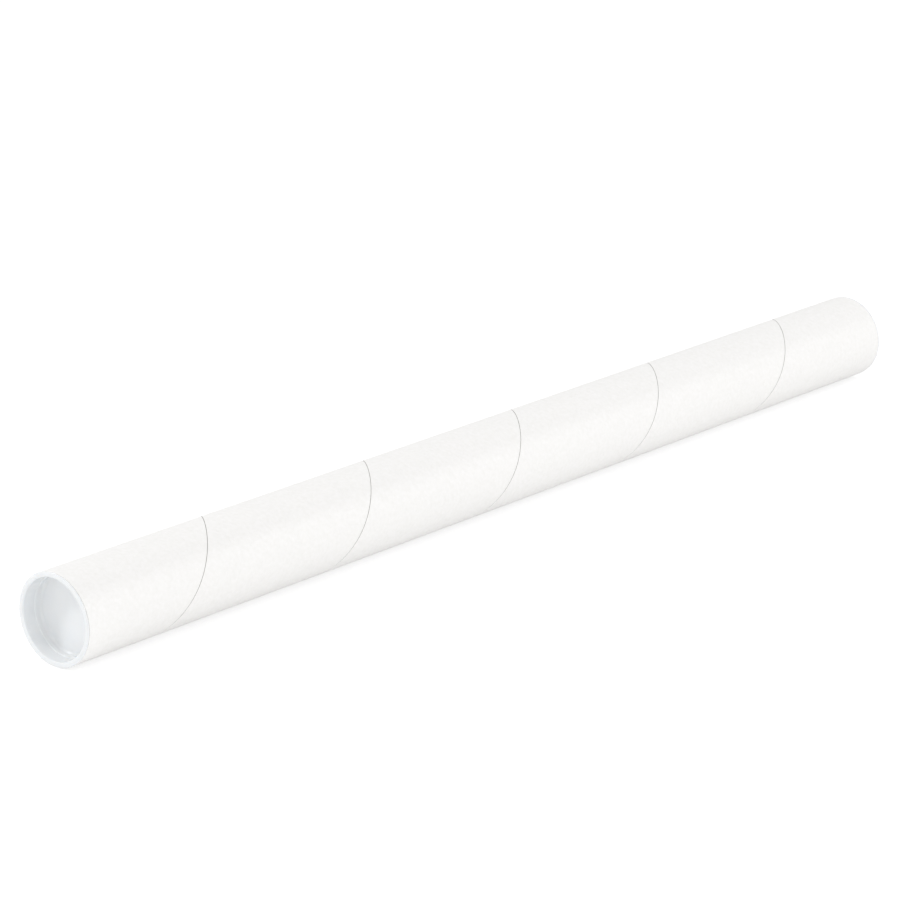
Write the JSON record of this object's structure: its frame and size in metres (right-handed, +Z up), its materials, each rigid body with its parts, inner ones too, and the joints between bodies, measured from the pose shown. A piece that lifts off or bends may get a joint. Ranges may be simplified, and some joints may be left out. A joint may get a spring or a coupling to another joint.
{
  "type": "cardboard mailing tube",
  "caption": "Long white spiral-wound paperboard tube for posting rolled sheets, closed at both ends by recessed plastic caps that pull out.",
  "frame": {"origin": "on the surface that the tube lies on, below the middle of its length and its axis", "axes": "+X along the tube's axis from the near cap to the far cap, +Y level across it, +Z up"},
  "size_m": [0.9172, 0.0671, 0.0671],
  "materials": {
    "white_paperboard": "matt white outer ply on spiral-wound paperboard",
    "cap_plastic": "natural white polyethylene, moulded, satin"
  },
  "bodies": {
    "tube": {"tube": "white_paperboard"},
    "near_cap": {"near_cap": "cap_plastic"},
    "far_cap": {"far_cap": "cap_plastic"}
  },
  "joints": [
    {"name": "near_cap_pull", "type": "slide", "parent": "tube", "child": "near_cap", "axis": [-1, 0, 0], "range_m": [0, 0.03]},
    {"name": "far_cap_pull", "type": "slide", "parent": "tube", "child": "far_cap", "axis": [1, 0, 0], "range_m": [0, 0.03]}
  ]
}
